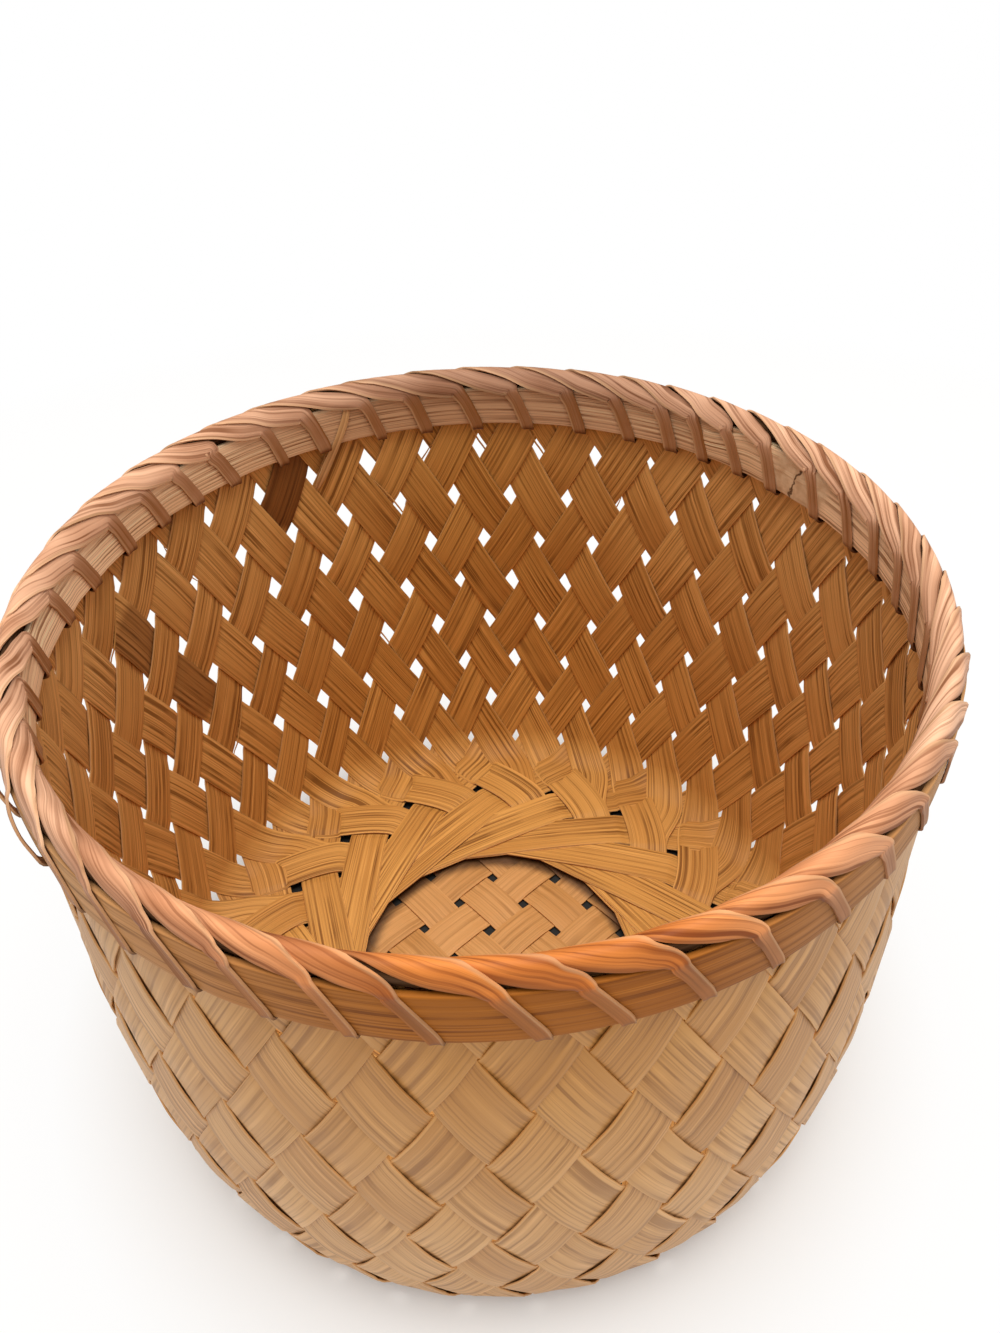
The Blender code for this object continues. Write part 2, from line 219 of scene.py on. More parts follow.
# Lashing up the inner hoop: share of its slant, share of its height, tone
LASHING_UP = ((0.16, 0.10, 0.5), (0.46, 0.42, 0.5), (0.78, 0.74, 0.55))

# Lashing down the outer hoop: share of its slant, share of its height, tone, share of its bow
LASHING_DOWN = ((0.78, 0.26, 0.55, 0.9), (0.46, 0.58, 0.5, 1.0), (0.16, 0.90, 0.5, 0.45))

# Lashings that stand off the outer hoop, by the number of their hole
BOWED_LASHINGS = {23: 0.0013, 24: 0.0017, 25: 0.0012}

# Holes that the lashings go through, in degrees round the rim
LASHING_HOLES = (
    8.2, 15.4, 24.1, 33.6, 40.4, 47.3, 53.4, 61.0, 70.0, 79.2, 88.0,
    97.0, 105.0, 115.2, 122.9, 132.2, 139.6, 146.9, 154.9, 164.1, 172.6, 183.3,
    191.5, 199.7, 207.9, 216.1, 224.3, 232.5, 240.7, 248.9, 256.9, 264.6, 274.1,
    281.8, 289.6, 297.1, 305.9, 313.7, 321.5, 329.3, 337.0, 344.8, 352.6, 360.4,
)

# Spots on the rim tinted with painted light and shade: warm painted shade at the front, painted shade at the
# back and painted light at the left
FRONT_PAINTED_SHADE_AT = (0.006, -0.092, 0.128)
BACK_PAINTED_SHADE_AT = (0.010, 0.090, 0.134)
LEFT_PAINTED_LIGHT_AT = (-0.085, 0.010, 0.128)
SPOT_EDGE, SPOT_HEART = 0.080, 0.020

# Distances over which the floor's painted shadow under the basket gives way to pale, its real shadow turns
# faint and the shadow ends
PAINTED_FLOOR_SHADOW = (0.069, 0.079)
NEAR_SHADOW = (0.074, 0.120)
FAR_SHADOW = (0.18, 0.45)

# Camera, at the place the photograph was taken from
CAMERA_PLACE = (0, -0.1737, 0.2622)
CAMERA_TURNS = (0.0237, 0.7129, -0.039)
CAMERA_LENS = 29.13

# Soft lamp overhead
LAMP_PLACE = (0.03, -0.06, 0.95)
LAMP_TARGET = (0, 0, 0.05)
LAMP_SIZE = 0.7
LAMP_POWER = 8.1
LAMP_COLOUR = (1.0, 0.985, 0.96)


# Shares and curves


def mix(start, end, share):
    """Value that goes from start to end in a straight line."""
    return start + (end - start) * share


def smooth(share):
    """Share from zero to one that eases in and out."""
    share = min(max(share, 0.0), 1.0)
    return share * share * (3 - 2 * share)


def eased(value, start, length):
    """Zero up to start and one beyond start plus length, with an eased rise between them."""
    return smooth((value - start) / length)


def round_point(radius, angle, height):
    """Point at a radius and an angle round the upright axis."""
    return Vector((radius * math.cos(angle), radius * math.sin(angle), height))


def wander(place, seed, reach=1.0):
    """Slow repeatable drift between about minus and plus reach."""
    return reach * noise.noise(Vector((place, seed * 7.31 + 0.37, seed * 1.93)))


def hermite(start, end, end_slope, share):
    """Smooth value that leaves start level and reaches end with a slope."""
    square = share ** 2
    cube = share ** 3
    return start * (2 * cube - 3 * square + 1) + end * (3 * square - 2 * cube) + end_slope * (cube - square)


def curve_value(values, place):
    """Value at a place on the smooth curve through evenly numbered values."""
    spot = int(min(max(place, 0), len(values) - 1.000001))
    share = place - spot
    a = values[max(spot - 1, 0)]
    b, c = values[spot], values[spot + 1]
    d = values[min(spot + 2, len(values) - 1)]
    linear = (c - a) * share
    square = (2 * a - 5 * b + 4 * c - d) * share ** 2
    cube = (3 * b - a - 3 * c + d) * share ** 3
    return 0.5 * (2 * b + linear + square + cube)


def curve_rows(stations, per_station):
    """Rows on smooth curves through stations, with so many steps from each station to the next."""
    values_of = list(zip(*stations))
    count = (len(stations) - 1) * per_station + 1
    return [[curve_value(values, step / per_station) for values in values_of] for step in range(count)]


# Middle surface and lattice of the splints


def wall_points():
    """Radius and height down the wall, from the rim's core to the edge of the flat base."""
    steps = 120
    bend_top = BASE_HEIGHT + BEND_HEIGHT
    bend_radius = FOOT_RADIUS + FOOT_BEND * math.sin(FOOT_BEND_ANGLE)
    drop = BELLY_HEIGHT - bend_top
    slope = -drop / math.tan(FOOT_BEND_ANGLE)
    points = []
    for step in range(steps):
        share = step / steps
        radius = mix(RIM_RADIUS, BELLY_RADIUS, smooth(share))
        points.append((radius, mix(RIM_HEIGHT, BELLY_HEIGHT, share)))
    for step in range(steps):
        share = step / steps
        points.append((hermite(BELLY_RADIUS, bend_radius, slope, share), mix(BELLY_HEIGHT, bend_top, share)))
    for step in range(steps // 4 + 1):
        angle = FOOT_BEND_ANGLE * (1 - step / (steps // 4))
        radius = FOOT_RADIUS + FOOT_BEND * math.sin(angle)
        points.append((radius, BASE_HEIGHT + FOOT_BEND * (1 - math.cos(angle))))
    return points


def base_lean(radius, passing):
    """Sideways travel for each unit inwards of a straight line that passes the centre."""
    return passing / math.sqrt(radius ** 2 - passing ** 2)


def wall_table(passing):
    """Radius, height, depth, turn, length and turn per depth, for each point down the wall."""
    rows = []
    depth = turn = length = 0.0
    before = None
    for radius, height in wall_points():
        share = min(max((height - BASE_HEIGHT) / BEND_HEIGHT, 0.0), 1.0)
        wall_lean = radius * COLUMN_ANGLE / (2 * ROW_PITCH)
        lean = mix(base_lean(radius, passing), wall_lean, share)
        if before:
            step = math.hypot(radius - before[0], height - before[1])
            depth += step
            turn += step * lean / (radius * COLUMN_ANGLE)
            length += step * math.hypot(1, lean)
        rows.append([radius, height, depth, turn, length, lean / (radius * COLUMN_ANGLE)])
        before = (radius, height)
    spot = bisect_left([row[2] for row in rows], FIRST_ROW_DEPTH)
    shift = 0.5 - rows[spot][3]
    foot_length = rows[-1][4]
    return [(r, z, d, t + shift, foot_length - s, rate) for r, z, d, t, s, rate in rows]


def passing_radius():
    """Radius at which a splint passes the opening, so that its two ends land on the lattice."""
    low, high = 0.030, 0.060
    for _ in range(40):
        middle = (low + high) / 2
        turned = wall_table(middle)[-1][3] + math.acos(middle / FOOT_RADIUS) / COLUMN_ANGLE
        if turned > PASS_TURN:
            low = middle
        else:
            high = middle
    return middle


PASSING = passing_radius()
WALL = wall_table(PASSING)
WALL_LENGTHS = [-row[4] for row in WALL]
FOOT_TURN = WALL[-1][3]
FOOT_REACH = math.sqrt(FOOT_RADIUS ** 2 - PASSING ** 2)
FOOT_SWEEP = math.acos(PASSING / FOOT_RADIUS)


def on_wall(length):
    """Radius, height, turn, turn per depth and inward normal at a length above the foot along a splint."""
    spot = min(max(bisect_left(WALL_LENGTHS, -length), 1), len(WALL) - 1)
    above, below = WALL[spot - 1], WALL[spot]
    share = (above[4] - length) / (above[4] - below[4])
    radius, height, _, turn, _, rate = (mix(a, b, share) for a, b in zip(above, below))
    down = Vector((below[0] - above[0], below[1] - above[1])).normalized()
    return radius, height, turn, rate, (down[1], -down[0])


def paired_share(reach):
    """One where two neighbouring splints lie on each other, zero where each keeps its own column."""
    return 1 - eased(reach, PAIRED_WITHIN, PAIRED_FROM - PAIRED_WITHIN)


def splint_point(travel, member):
    """Point, normal, turn and turn per depth on the middle surface; travel is zero beside the opening."""
    side = 1 if travel > 0 else -1
    reach = abs(travel)
    if reach > FOOT_REACH:
        radius, height, turn, rate, normal = on_wall(reach - FOOT_REACH)
        angle = side * (FOOT_SWEEP + (FOOT_TURN - turn) * COLUMN_ANGLE)
        point = round_point(radius, angle, height)
        facing = round_point(normal[0], angle, normal[1])
    else:
        point = Vector((PASSING, travel, BASE_HEIGHT + STACK_RISE * (1 - smooth(reach / FOOT_REACH))))
        facing = Vector((0, 0, 1))
        radius = math.hypot(PASSING, max(reach, 0.010))
        turn = PASS_TURN - math.atan2(reach, PASSING) / COLUMN_ANGLE
        rate = base_lean(radius, PASSING) / (radius * COLUMN_ANGLE)
    join = Matrix.Rotation(-member * paired_share(reach) * COLUMN_ANGLE / 2, 3, "Z")
    return join @ point, join @ facing, turn, rate


def row_shear(point, normal, across, rate, side):
    """Rows gained over a metre across a splint, as the splints that cross it lie on the slant."""
    around = Vector((-point.y, point.x, 0)).normalized()
    down = normal.cross(around)
    columns = across.dot(around) / (math.hypot(point.x, point.y) * COLUMN_ANGLE)
    return across.dot(down) * rate - side * columns


def crossings(lean):
    """Row, half cover, sign, low lift and high lift at each crossing of a splint, from the rim down."""
    spots = []
    for row in range(-1, LAST_SINGLE_ROW + 1):
        spots.append((row, HALF_COVER, -1 if row % 2 == 0 else 1, LOW_LIFT, HIGH_LIFT))
    if lean < 0:
        spots.append((FOOT_ROW, FOOT_HALF_COVER, 1, LOW_LIFT, HIGH_LIFT))
    spots.append((BLADE_ROW - 2, PAIR_HALF_COVER, -1, PAIR_LOW_LIFT, PAIR_HIGH_LIFT))
    for row in range(BLADE_ROW, 2 * PASS_TURN + 3, 2):
        spots.append((row, PAIR_HALF_COVER, 1, PAIR_LOW_LIFT, PAIR_HIGH_LIFT))
    return spots


CROSSINGS = {lean: crossings(lean) for lean in (-1, 1)}


def crossing_lift(sign, low, high, angle):
    """Offset at a crossing; the angle is zero in its middle and a right angle at its end."""
    return sign * (low + high * math.cos(angle) ** 2)


def row_lift(place, lean):
    """Offset to the inside of a splint at a place counted in rows, over and under those that cross it."""
    spots = CROSSINGS[lean]
    index = min(max(bisect_left([spot[0] for spot in spots], place), 1), len(spots) - 1)
    row, cover, sign, low, high = spots[index - 1]
    next_row, next_cover, next_sign, next_low, next_high = spots[index]
    if place <= row + cover:
        return crossing_lift(sign, low, high, math.pi / 2 * min((place - row) / cover, 1))
    if place >= next_row - next_cover:
        angle = math.pi / 2 * (next_row - place) / next_cover
        return crossing_lift(next_sign, next_low, next_high, angle)
    share = (place - row - cover) / (next_row - next_cover - row - cover)
    return mix(sign * low, next_sign * next_low, share)


def stack_lift(reach, side):
    """Offset of a splint's middle in the stack of blades on the base."""
    hump = smooth(reach / STACK_HUMP_AT) * (1 - eased(reach, STACK_HUMP_AT, STACK_HUMP_AT))
    return -side * (BASE_LIFT * smooth(reach / STACK_LEVEL_AT) + STACK_LIFT * hump)


def wall_half_width(point, reach):
    """Half a splint's width on the wall, widest at the front and narrowest at the back left."""
    frontward = 0.5 - 0.5 * point.y / math.hypot(point.x, point.y)
    wider = FRONT_WIDENING * frontward
    for middle, half_angle, widening in CROWDED_PLACES:
        away = abs(math.remainder(math.atan2(point.y, point.x) - middle, FULL_TURN))
        wider += widening * smooth(1 - away / half_angle)
    raised = smooth((reach - FOOT_REACH - 0.002) / WIDENED_OVER)
    return SPLINT_HALF_WIDTH * (1 + wider * raised)


def splint_stations(number, member):
    """What a splint is at each step along it.

    Each station holds its centre, across, normal, half width, row, shear of the row, family, lift in
    the stack, share on the base, place along the splint, twist and lift in its pair.
    """
    random.seed(1000 + number)
    wall_length = WALL[0][4]
    start = -(FOOT_REACH + wall_length - END_DEPTH - random.uniform(0, END_SCATTER))
    end = FOOT_REACH + wall_length - END_DEPTH - random.uniform(0, END_SCATTER)
    fat = random.uniform(0.96, 1.05)
    turn_to_place = Matrix.Rotation(FIRST_HOLE_ANGLE + (number + PASS_TURN) * COLUMN_ANGLE, 3, "Z")
    stations = []
    for step in range(SPLINT_STEPS + 1):
        travel = mix(start, end, step / SPLINT_STEPS)
        point, normal, turn, rate = splint_point(travel, member)
        before = splint_point(travel - PROBE, member)[0]
        after = splint_point(travel + PROBE, member)[0]
        across = (after - before).cross(normal).normalized()
        side = 1 if travel > 0 else -1
        reach = abs(travel)
        shear = row_shear(point, normal, across, rate, side)
        on_base = 1 - eased(reach, BLADES_WITHIN, BLADES_FADE)
        flat = 1 - eased(reach, FULL_WIDTH_WITHIN, FULL_WIDTH_FADE)
        near_foot = 1 - min(abs(reach - FOOT_REACH - 0.004) / 0.030, 1)
        placed = turn_to_place @ point
        half = mix(wall_half_width(placed, reach), BASE_HALF_WIDTH, flat) * fat
        half *= (1 + FOOT_WIDENING * smooth(near_foot)) * (1 + wander(travel * 18, number, WIDTH_WANDER))
        drift = wander(travel * 24, number + 50, SIDE_WANDER) * eased(reach, STEADY_WITHIN, STEADY_FADE)
        twist = wander(travel * 60, number + 90, TWIST_WANDER) - BLADE_TILT * on_base
        stations.append((
            placed + turn_to_place @ (across * drift), turn_to_place @ across, turn_to_place @ normal,
            half, 2 * turn + shear * drift, shear, -side, stack_lift(reach, side), on_base, travel, twist,
            member * PAIR_LIFT * smooth(1.6 * paired_share(reach)),
        ))
    return stations


# Strips


def new_item(name, data):
    """Object in the scene, with its data."""
    item = bpy.data.objects.new(name, data)
    bpy.context.scene.collection.objects.link(item)
    return item


def built_item(name, bm):
    """Object in the scene, with the mesh that has been built."""
    mesh = bpy.data.meshes.new(name)
    bm.to_mesh(mesh)
    bm.free()
    mesh.shade_smooth()
    return new_item(name, mesh)


def strip(name, steps, columns, place, uv_at, shade_at=None):
    """Grid that place bends into a strip, with its length and width in metres as UV."""
    bm = bmesh.new()
    uv_layer = bm.loops.layers.uv.new("UVMap")
    shade_layer = bm.verts.layers.float.new("shade")
    across_layer = bm.verts.layers.float.new("across")
    bmesh.ops.create_grid(bm, x_segments=steps, y_segments=columns, size=1, calc_uvs=True)
    for face in bm.faces:
        for loop in face.loops:
            step = round((loop.vert.co.x + 1) / 2 * steps)
            loop[uv_layer].uv = uv_at(step, loop.vert.co.y)
    for vert in bm.verts:
        step = round((vert.co.x + 1) / 2 * steps)
        side = vert.co.y
        vert[across_layer] = side
        if shade_at:
            vert[shade_layer] = shade_at(step, side)
        vert.co = place(step, side)
    bm.normal_update()
    return built_item(name, bm)


def thicken(item, thickness, edge, segments=2):
    """Give a strip its thickness and its eased edges."""
    solid = item.modifiers.new("thickness", "SOLIDIFY")
    solid.thickness = thickness
    solid.offset = 0
    solid.use_even_offset = False
    solid.material_offset = 1
    solid.material_offset_rim = 0
    bevel = item.modifiers.new("edges", "BEVEL")
    bevel.width = edge
    bevel.segments = segments
    bevel.limit_method = "ANGLE"
    bevel.angle_limit = math.radians(50)
    bevel.harden_normals = False


def dress(item, materials, slot, *nodes):
    """Give a piece its materials and put it in place of its nodes."""
    for material in materials:
        item.data.materials.append(material)
    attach(item, "root")
    if nodes:
        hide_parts(*nodes)


# Finishes


def feed(tree, socket, value):
    """Give a socket a number, a colour or what another socket carries."""
    if isinstance(value, float):
        socket.default_value = value
    elif isinstance(value, tuple):
        socket.default_value = (*value, 1)
    else:
        tree.links.new(value, socket)


def calculated(tree, operation, *values):
    """Result of a sum with numbers and sockets."""
    node = tree.nodes.new("ShaderNodeMath")
    node.operation = operation
    for socket, value in zip(node.inputs, values):
        feed(tree, socket, value)
    return node.outputs[0]


def cloud_noise(tree, source, scale, detail, roughness=0.5):
    """Even noise; the scale is cycles in a unit of its source."""
    texture = tree.nodes.new("ShaderNodeTexNoise")
    texture.inputs["Scale"].default_value = scale
    texture.inputs["Detail"].default_value = detail
    texture.inputs["Roughness"].default_value = roughness
    tree.links.new(source, texture.inputs["Vector"])
    return texture.outputs["Fac"]


def fibre_noise(tree, source, along, across, detail, roughness=0.6):
    """Noise drawn out along a strip; along and across are cycles in a metre."""
    mapping = tree.nodes.new("ShaderNodeMapping")
    mapping.inputs["Scale"].default_value = (along, across, 1)
    tree.links.new(source, mapping.inputs["Vector"])
    return cloud_noise(tree, mapping.outputs["Vector"], 1, detail, roughness)


def spread(tree, value, low, high, to_low=0.0, to_high=1.0):
    """Stretch a value from one range to another and hold it at the ends."""
    node = tree.nodes.new("ShaderNodeMapRange")
    node.inputs["From Min"].default_value = low
    node.inputs["From Max"].default_value = high
    node.inputs["To Min"].default_value = to_low
    node.inputs["To Max"].default_value = to_high
    tree.links.new(value, node.inputs["Value"])
    return node.outputs["Result"]


def blend(tree, share, first, second, kind="MIX"):
    """Mix two colours, each a triple or a socket."""
    node = tree.nodes.new("ShaderNodeMix")
    node.data_type = "RGBA"
    node.blend_type = kind
    feed(tree, node.inputs["Factor"], share)
    feed(tree, node.inputs[6], first)
    feed(tree, node.inputs[7], second)
    return node.outputs[2]


def scaled(tree, value, factor):
    """Value times a factor, which is a number or a socket."""
    return calculated(tree, "MULTIPLY", value, factor)


def attribute(tree, name):
    """Number that the mesh keeps under a name."""
    node = tree.nodes.new("ShaderNodeAttribute")
    node.attribute_name = name
    return node.outputs["Fac"]


def object_place(tree):
    """Place in the frame, in metres."""
    return tree.nodes.new("ShaderNodeTexCoord").outputs["Object"]


def distance_from(tree, spot):
    """Distance from a spot, in metres."""
    away = tree.nodes.new("ShaderNodeVectorMath")
    away.operation = "DISTANCE"
    away.inputs[1].default_value = spot
    tree.links.new(object_place(tree), away.inputs[0])
    return away.outputs["Value"]


def recoloured(finish, colour):
    """Finish whose shader shows another colour."""
    material, tree, shader, _ = finish
    tree.links.new(colour, shader.inputs["Base Color"])
    return material, tree, shader, colour


def tinted(finish, share, tint):
    """Finish with its colour multiplied by a tint, for a share of it."""
    _, tree, _, colour = finish
    return recoloured(finish, blend(tree, share, colour, blend(tree, 1.0, colour, tint, "MULTIPLY")))


def bamboo(name, light, dark, groove, roughness=0.5, lines=900, depth=1.0, edge=0.25, patch=11, gloss=0.25):
    """Split bamboo: patches of tone, fibre bundles with dark grooves, fine fibres and pale edges, which are
    a painted highlight.

    Lines counts the bundles in a metre across it, and patch the tones in a metre along it.
    """
    material = bpy.data.materials.new(name)
    material.use_nodes = True
    tree = material.node_tree
    shader = tree.nodes["Principled BSDF"]
    source = tree.nodes.new("ShaderNodeTexCoord").outputs["UV"]
    tone = spread(tree, fibre_noise(tree, source, patch, 28, 2), 0.34, 0.66)
    strong = spread(tree, fibre_noise(tree, source, 60, 90, 1), 0.38, 0.60, 0.30, 1.0)
    bundles = fibre_noise(tree, source, 5, lines, 2, 0.55)
    threads = fibre_noise(tree, source, 14, 2.3 * lines, 2, 0.6)
    grooves = spread(tree, bundles, 0.475, 0.385)
    ridges = spread(tree, bundles, 0.53, 0.64)
    pale = tuple(min(1.20 * part + 0.012, 0.9) for part in light)
    colour = blend(tree, tone, light, dark)
    colour = blend(tree, scaled(tree, scaled(tree, ridges, strong), 0.60 * depth), colour, pale)
    colour = blend(tree, scaled(tree, scaled(tree, grooves, strong), 0.85 * depth), colour, groove)
    colour = blend(tree, scaled(tree, spread(tree, threads, 0.49, 0.36), 0.55 * depth), colour, groove)
    from_middle = calculated(tree, "ABSOLUTE", attribute(tree, "across"))
    # Painted highlight along the strip's edges
    colour = blend(tree, spread(tree, from_middle, 0.90, 1.0, 0.0, edge), colour, pale)
    shader.inputs["Roughness"].default_value = roughness
    shader.inputs["Specular IOR Level"].default_value = gloss
    bump = tree.nodes.new("ShaderNodeBump")
    bump.inputs["Strength"].default_value = 0.6
    bump.inputs["Distance"].default_value = 0.00030
    tree.links.new(blend(tree, 0.3, bundles, threads), bump.inputs["Height"])
    tree.links.new(bump.outputs["Normal"], shader.inputs["Normal"])
    return recoloured((material, tree, shader, colour), colour)


def painted_light_and_shade_spot(finish, tint, share=0.95, spot=FRONT_PAINTED_SHADE_AT):
    """Tint a finish round a spot of the rim: painted shade where the tint darkens it, painted light where it
    brightens it.
    """
    tree = finish[1]
    return tinted(finish, spread(tree, distance_from(tree, spot), SPOT_EDGE, SPOT_HEART, 0.0, share), tint)


def darkened(finish, stain_and_shadow, share, kind="MIX"):
    """Carry the shade attribute into a finish: one is fully dark, zero is clean; on the splints it marks
    real stains, on the mat painted shadow under the blades.
    """
    _, tree, _, colour = finish
    shade = scaled(tree, attribute(tree, "shade"), share)
    return recoloured(finish, blend(tree, shade, colour, stain_and_shadow, kind))[0]


def painted_sheen_at_sides(finish, tint):
    """Tint a finish at the left, at the right and near the rim with painted sheen, which makes it paler and
    less orange.
    """
    tree = finish[1]
    axes = tree.nodes.new("ShaderNodeSeparateXYZ")
    tree.links.new(object_place(tree), axes.inputs["Vector"])
    aside = calculated(tree, "ABSOLUTE", axes.outputs["X"])
    toward_sides_and_rim = calculated(tree, "ADD", aside, scaled(tree, axes.outputs["Z"], 0.45))
    return tinted(finish, spread(tree, toward_sides_and_rim, 0.050, 0.140), tint)


def splint_finishes():
    """Skin side and pith side of the wall splints."""
    pith = bamboo(
        "splint_pith_side", light=(0.645, 0.318, 0.076), dark=(0.50, 0.219, 0.044),
        groove=(0.215, 0.080, 0.013), roughness=0.58, lines=1150, depth=1.1,
    )
    skin = bamboo(
        "splint_skin_side", light=(0.64, 0.37, 0.16), dark=(0.51, 0.262, 0.096),
        groove=(0.32, 0.15, 0.05), lines=760, depth=0.9,
    )
    front_painted_shade, side_sheen_tint, stain_and_shadow = (0.87, 0.72, 0.41), (1.16, 1.27, 1.80), (0.36, 0.26, 0.20)
    # Skin side: painted warm shade round the front of the rim, then its real stains
    outside = darkened(painted_light_and_shade_spot(skin, front_painted_shade), stain_and_shadow, 1.0, "MULTIPLY")
    # Pith side: painted sheen at the left, the right and near the rim, then its real stains
    return outside, darkened(painted_sheen_at_sides(pith, side_sheen_tint), stain_and_shadow, 1.0, "MULTIPLY")


# Pieces of the weave


def splint_shade(number, travel):
    """Darkness of the real stains on the few splints that have them, at their places along them."""
    shade = 0.0
    for stained, middle, half_length, share in SPLINT_STAINS:
        if number == stained:
            shade = max(shade, share * (1 - eased(abs(travel - middle), half_length, STAIN_FADE)))
    return shade


def splint_surface(stations, member):
    """Function for the middle of a splint's thickness at a step along it and a place across it."""
    def place(step, side):
        point, across, normal, half, row, shear, family, stack, on_base, _, twist, pair = stations[step]
        woven = family * row_lift(row + shear * side * half, family * member)
        offset = mix(woven, stack, on_base) + pair + twist * side * half - SPLINT_CUP * (1 - side * side)
        return point + across * (side * half) + normal * offset

    return place


def add_splints():
    """Wall and base: thirty-six splints, each down the wall, past the opening and up again."""
    finishes = splint_finishes()
    surfaces = []
    for number in range(SPLINT_COUNT):
        member = 1 if number % 2 == 0 else -1
        stations = splint_stations(number, member)
        place = splint_surface(stations, member)
        surfaces.append((place, [station[9] for station in stations]))

        def uv_at(step, side):
            return (stations[step][9] + number * 1.37, side * stations[step][3] + number * 0.05)

        def shade_at(step, side):
            return splint_shade(number, stations[step][9])

        name = f"weave_splint_{number + 1:02d}"
        item = strip(name, SPLINT_STEPS, SPLINT_COLUMNS, place, uv_at, shade_at)
        thicken(item, SPLINT_THICKNESS, SPLINT_EDGE)
        dress(item, finishes, "wall_bamboo", f"splint_{number + 1:02d}")
    return surfaces


def add_splinters(surfaces):
    """Fine fibres lifted from the splints' edges, which cross the holes beside them."""
    finish = bamboo(
        "splinter_fibre", light=(0.66, 0.35, 0.11), dark=(0.52, 0.25, 0.066),
        groove=(0.26, 0.11, 0.028), roughness=0.6,
    )[0]
    for order, (number, middle, half_length, edge, gap) in enumerate(SPLINTERS):
        surface, travels = surfaces[number]
        near = [step for step, travel in enumerate(travels) if abs(travel - middle) < half_length]
        steps = len(near) - 1

        def place(step, side):
            bow = max(math.sin(math.pi * step / steps), 0.0)
            spot = surface(near[step], edge)
            outward = (spot - surface(near[step], 0)).normalized()
            half = SPLINTER_HALF_WIDTH * (0.3 + 0.7 * bow)
            return spot + outward * (gap * bow ** 0.7 - SPLINTER_ROOT + side * half)

        def uv_at(step, side):
            return (travels[near[step]] + order * 0.71, side * SPLINTER_HALF_WIDTH + order * 0.03)

        item = strip(f"weave_splinter_{order + 1:02d}", steps, 2, place, uv_at)
        thicken(item, SPLINTER_THICKNESS, SPLINTER_EDGE, 1)
        dress(item, (finish, finish), "wall_bamboo")


def add_loose_end():
    """Free end of a split strip, which lies over the inner hoop from the weave up to the binding."""
    rows = curve_rows(LOOSE_END, LOOSE_END_STEPS)
    steps = len(rows) - 1

    def place(step, side):
        angle, radius, height, half = rows[step]
        before, after = rows[max(step - 1, 0)], rows[min(step + 1, steps)]
        lean = math.atan2(after[2] - before[2], math.radians(after[0] - before[0]) * radius)
        turned = math.radians(angle) - side * half * math.sin(lean) / radius
        return round_point(radius, turned, height + side * half * math.cos(lean))

    def uv_at(step, side):
        return (step * LOOSE_END_STEP_LENGTH, side * rows[step][3])

    finish = bamboo(
        "loose_end_fibre", light=(0.60, 0.33, 0.14), dark=(0.47, 0.24, 0.085),
        groove=(0.22, 0.095, 0.03), roughness=0.55, lines=1000,
    )[0]
    item = strip("weave_loose_end", steps, 4, place, uv_at)
    thicken(item, LOOSE_END_THICKNESS, LOOSE_END_EDGE)
    dress(item, (finish, finish), "wall_bamboo")


def mat_offsets(shift):
    """Numbers and offsets of the parallel mat strips."""
    limit = MAT_RADIUS - MAT_MARGIN
    low = math.ceil((-limit - shift) / MAT_PITCH)
    high = math.floor((limit - shift) / MAT_PITCH)
    return [(number, number * MAT_PITCH + shift) for number in range(low, high + 1)]


def add_mat_strip(name, order, angle, number, offset, crossing, over_when, finish):
    """One strip of the square mat, over and under the strips that cross it."""
    reach = math.sqrt(MAT_RADIUS ** 2 - offset ** 2)
    frame_turn = Matrix.Rotation(angle, 3, "Z")

    def place(step, side):
        along = mix(-reach, reach, step / MAT_STEPS)
        nearest, spot = min(crossing, key=lambda entry: abs(entry[1] - along))
        away = abs(along - spot) / MAT_PITCH
        sign = 1 if (number + nearest) % 2 == over_when else -1
        swell = smooth((0.5 - away) / 0.22)
        wave = sign * MAT_LIFT * swell * (0.8 + 0.2 * math.cos(math.pi * away))
        across = side * MAT_HALF_WIDTH * (1 + wander(along * 40, order, 0.04))
        drift = wander(along * 25, order + 9, 0.0004)
        return frame_turn @ Vector((along, offset + across + drift, MAT_MIDDLE + wave))

    def uv_at(step, side):
        return (mix(-reach, reach, step / MAT_STEPS) + order * 0.83, side * MAT_HALF_WIDTH + order * 0.05)

    # Painted shadow: dark where the mat runs under the blades
    def shade_at(step, side):
        spot = place(step, side)
        return eased(math.hypot(spot.x, spot.y), SHADE_FROM, SHADE_TO - SHADE_FROM)

    item = strip(f"base_{name}", MAT_STEPS, MAT_COLUMNS, place, uv_at, shade_at)
    thicken(item, MAT_THICKNESS, MAT_EDGE)
    dress(item, (finish, finish), "mat_bamboo", name)


def add_mat():
    """Plain woven mat under the opening in the base."""
    pale = bamboo(
        "mat_strips", light=(0.60, 0.305, 0.105), dark=(0.50, 0.235, 0.066),
        groove=(0.31, 0.135, 0.032), roughness=0.6, lines=800, depth=0.7,
    )
    # Painted shadow: the mat darkened nearly to black under the blades round the opening
    finish = darkened(pale, (0.060, 0.024, 0.009), 0.9)
    along = mat_offsets(MAT_SHIFT)
    across = mat_offsets(0.0)
    for order, (number, offset) in enumerate(along):
        name = f"mat_strip_a_{order + 1}"
        add_mat_strip(name, order, MAT_ANGLE, number, offset, across, 1, finish)
    for order, (number, offset) in enumerate(across):
        name = f"mat_strip_b_{order + 1}"
        add_mat_strip(name, order + 20, MAT_ANGLE + math.pi / 2, number, -offset, along, 0, finish)


# Pieces of the rim


